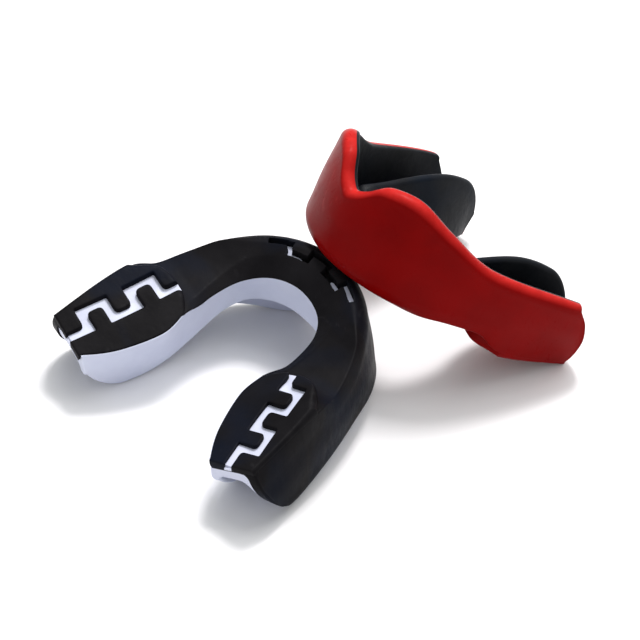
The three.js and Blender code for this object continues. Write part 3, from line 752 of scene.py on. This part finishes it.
def rubber(name, light, dark, tint, rough, spec, coat=0.0, grain=1.0, edge=0.25, haze=0.0, painted_top_highlight=None):
    """Moulded rubber: slow colour drift, fine grain, handling marks and worn edges, plus an optional painted highlight
    that lightens surfaces facing up, standing in for light from above.
    """
    m = bpy.data.materials.new(name)
    m.use_nodes = True
    nt = m.node_tree
    N, K = nt.nodes, nt.links
    b = N["Principled BSDF"]
    co = N.new("ShaderNodeTexCoord")

    def noise(scale, detail, roughness=0.55, distortion=0.0, stretch=None):
        t = N.new("ShaderNodeTexNoise")
        t.inputs["Scale"].default_value = scale
        t.inputs["Detail"].default_value = detail
        t.inputs["Roughness"].default_value = roughness
        t.inputs["Distortion"].default_value = distortion
        if stretch:
            mp = N.new("ShaderNodeMapping")
            mp.inputs["Scale"].default_value = stretch
            mp.inputs["Rotation"].default_value = (0.3, 0.2, 0.7)
            K.new(co.outputs["Object"], mp.inputs["Vector"])
            K.new(mp.outputs["Vector"], t.inputs["Vector"])
        else:
            K.new(co.outputs["Object"], t.inputs["Vector"])
        return t

    def remap(src, a, c, lo, hi):
        r = N.new("ShaderNodeMapRange")
        r.inputs["From Min"].default_value, r.inputs["From Max"].default_value = a, c
        r.inputs["To Min"].default_value, r.inputs["To Max"].default_value = lo, hi
        K.new(src, r.inputs["Value"])
        return r.outputs["Result"]

    def mix(fac, c1, c2, mode="MIX"):
        x = N.new("ShaderNodeMix")
        x.data_type = "RGBA"
        x.blend_type = mode
        x.clamp_factor = True
        if hasattr(fac, "links"):
            K.new(fac, x.inputs[0])
        else:
            x.inputs[0].default_value = fac
        for sock, v in ((x.inputs[6], c1), (x.inputs[7], c2)):
            if hasattr(v, "links"):
                K.new(v, sock)
            else:
                sock.default_value = v
        return x.outputs[2]

    slow, mid, fine = noise(90, 3), noise(420, 4, 0.6, 0.4), noise(4200, 3, 0.6)
    col = mix(remap(slow.outputs["Fac"], 0.38, 0.62, 0, 1), dark, light)
    tone = noise(55, 2, 0.5, 0.6)
    col = mix(remap(tone.outputs["Fac"], 0.5, 0.68, 0, 0.75), col, tint)
    col = mix(remap(mid.outputs["Fac"], 0.42, 0.7, 0, 0.22), col, light)
    geo = N.new("ShaderNodeNewGeometry")
    worn = N.new("ShaderNodeMath"); worn.operation = "MULTIPLY"
    K.new(remap(geo.outputs["Pointiness"], 0.52, 0.60, 0, edge), worn.inputs[0])
    K.new(remap(mid.outputs["Fac"], 0.35, 0.65, 0.3, 1), worn.inputs[1])
    pale = tuple(min(1.0, 0.04 + 1.9 * c) for c in light[:3]) + (1.0,)
    col = mix(worn.outputs[0], col, pale)
    if painted_top_highlight:                       # painted highlight: surfaces whose normal faces up are lightened towards this colour, as if lit from above
        up = N.new("ShaderNodeSeparateXYZ")
        K.new(geo.outputs["Normal"], up.inputs["Vector"])
        top_highlight_mask = N.new("ShaderNodeMath"); top_highlight_mask.operation = "MULTIPLY"
        K.new(remap(up.outputs["Z"], 0.45, 0.95, 0, 0.8), top_highlight_mask.inputs[0])
        K.new(remap(mid.outputs["Fac"], 0.35, 0.65, 0.7, 1), top_highlight_mask.inputs[1])
        col = mix(top_highlight_mask.outputs[0], col, painted_top_highlight)
    K.new(col, b.inputs["Base Color"])
    # handling marks: faint long smears that change the gloss
    smear = noise(260, 3, 0.6, 1.2, (1.0, 3.5, 1.0))
    ra = N.new("ShaderNodeMath"); ra.operation = "ADD"
    K.new(remap(smear.outputs["Fac"], 0.35, 0.7, -0.05, 0.07), ra.inputs[0])
    K.new(remap(fine.outputs["Fac"], 0.3, 0.7, rough - 0.04, rough + 0.05), ra.inputs[1])
    K.new(ra.outputs[0], b.inputs["Roughness"])
    b.inputs["Specular IOR Level"].default_value = spec
    b.inputs["Coat Weight"].default_value = coat
    b.inputs["Coat Roughness"].default_value = 0.3
    b.inputs["Sheen Weight"].default_value = haze
    b.inputs["Sheen Roughness"].default_value = 0.5
    h1 = N.new("ShaderNodeBump")
    h1.inputs["Strength"].default_value = 0.35 * grain
    h1.inputs["Distance"].default_value = 0.00004
    K.new(fine.outputs["Fac"], h1.inputs["Height"])
    h2 = N.new("ShaderNodeBump")
    h2.inputs["Strength"].default_value = 0.30 * grain
    h2.inputs["Distance"].default_value = 0.00022
    K.new(mid.outputs["Fac"], h2.inputs["Height"])
    K.new(h2.outputs["Normal"], h1.inputs["Normal"])
    K.new(h1.outputs["Normal"], b.inputs["Normal"])
    return m


BLACK = rubber("black_rubber", srgb(24, 23, 25), srgb(16, 15, 17), srgb(13, 19, 32), 0.44, 0.03, edge=0.10)
WHITE = rubber("white_liner_rubber", srgb(209, 214, 232), srgb(200, 205, 225), srgb(202, 205, 224), 0.45, 0.3, grain=0.6, edge=0.1)
# the red gets a painted highlight: its rims that face up are lightened to a pale red, standing in for light from above
RED = rubber("red_rubber", srgb(130, 5, 5), srgb(121, 5, 5), srgb(115, 5, 6), 0.32, 0.035, grain=0.4, edge=0.2,
             painted_top_highlight=srgb(206, 44, 40))
LINER = rubber("black_liner_rubber", srgb(26, 28, 32), srgb(18, 19, 22), srgb(17, 24, 34), 0.44, 0.05, edge=0.10)

# ------------------------------------------------------------------ build the two guards
SHELL_S = dense_stations(0.11, 0.30, 0.30)
LINER_S = dense_stations(0.30, 0.34, 0.30)
for prefix, guard in GUARDS.items():
    skin, inner = (BLACK, WHITE) if prefix == "black" else (RED, LINER)
    shell = loft(f"{prefix}_outer_shell", shell_section, SHELL_S, guard, groove=True, back=0.08)
    liner = loft(f"{prefix}_fit_liner", liner_section, LINER_S, guard, back=0.45)
    parts = [shell, liner, front_inlay(prefix, guard)]
    for hand, side in (("left", 1), ("right", -1)):
        parts += pad_pieces(prefix, hand, side, guard)
    for ob in parts:
        node = ob.name.removesuffix("_surface")
        lined = "liner" in node or "inlay" in node
        ob.data.materials.append(inner if lined else skin)
        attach(ob, f"{prefix}_guard")
        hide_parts(node)

# ------------------------------------------------------------------ floor, light, camera
floor_mesh = bpy.data.meshes.new("floor")
floor_mesh.from_pydata([(-3, -3, 0), (3, -3, 0), (3, 3, 0), (-3, 3, 0)], [], [(0, 1, 2, 3)])
floor = bpy.data.objects.new("floor", floor_mesh)
bpy.context.scene.collection.objects.link(floor)
fm = bpy.data.materials.new("floor")
fm.use_nodes = True
fb = fm.node_tree.nodes["Principled BSDF"]
fb.inputs["Base Color"].default_value = (0.90, 0.90, 0.90, 1)
fb.inputs["Roughness"].default_value = 0.8
fb.inputs["Specular IOR Level"].default_value = 0.1
floor_mesh.materials.append(fm)

world = bpy.data.worlds.new("studio")
bpy.context.scene.world = world
world.use_nodes = True
world.node_tree.nodes["Background"].inputs["Color"].default_value = (0.98, 0.99, 1.0, 1)
world.node_tree.nodes["Background"].inputs["Strength"].default_value = 0.60


def area(name, loc, target, size, power, colour=(1, 1, 1)):
    l = bpy.data.lights.new(name, "AREA")
    l.shape = "RECTANGLE"
    l.size, l.size_y = size
    l.energy = power
    l.color = colour
    o = bpy.data.objects.new(name, l)
    bpy.context.scene.collection.objects.link(o)
    o.location = loc
    o.rotation_mode = "QUATERNION"
    o.rotation_quaternion = (Vector(target) - Vector(loc)).to_track_quat("-Z", "Y")
    return o


area("key", (-0.12, 0.42, 0.85), (0, 0, 0.02), (1.0, 1.0), 6.0)
area("rim", (-0.22, 0.30, 0.86), (0, 0, 0.02), (0.20, 0.20), 6.0, (1.0, 0.97, 0.98))

cam_data = bpy.data.cameras.new("camera")
cam = bpy.data.objects.new("camera", cam_data)
bpy.context.scene.collection.objects.link(cam)
right = Vector((0.68751587, 0.72085502, 0.08769245))
down = Vector((0.5143656, -0.39817958, -0.75952686))
ahead = Vector((-0.51259141, 0.56729275, -0.64453781))
cam.matrix_world = Matrix((
    (right.x, -down.x, -ahead.x, 0.3225352),
    (right.y, -down.y, -ahead.y, -0.3622748),
    (right.z, -down.z, -ahead.z, 0.4170776),
    (0, 0, 0, 1)))
cam_data.sensor_width = 36
cam_data.lens = 3221.6533 / 640 * 36
cam_data.clip_start, cam_data.clip_end = 0.01, 20
bpy.context.scene.camera = cam
bpy.context.scene.view_settings.view_transform = "Standard"
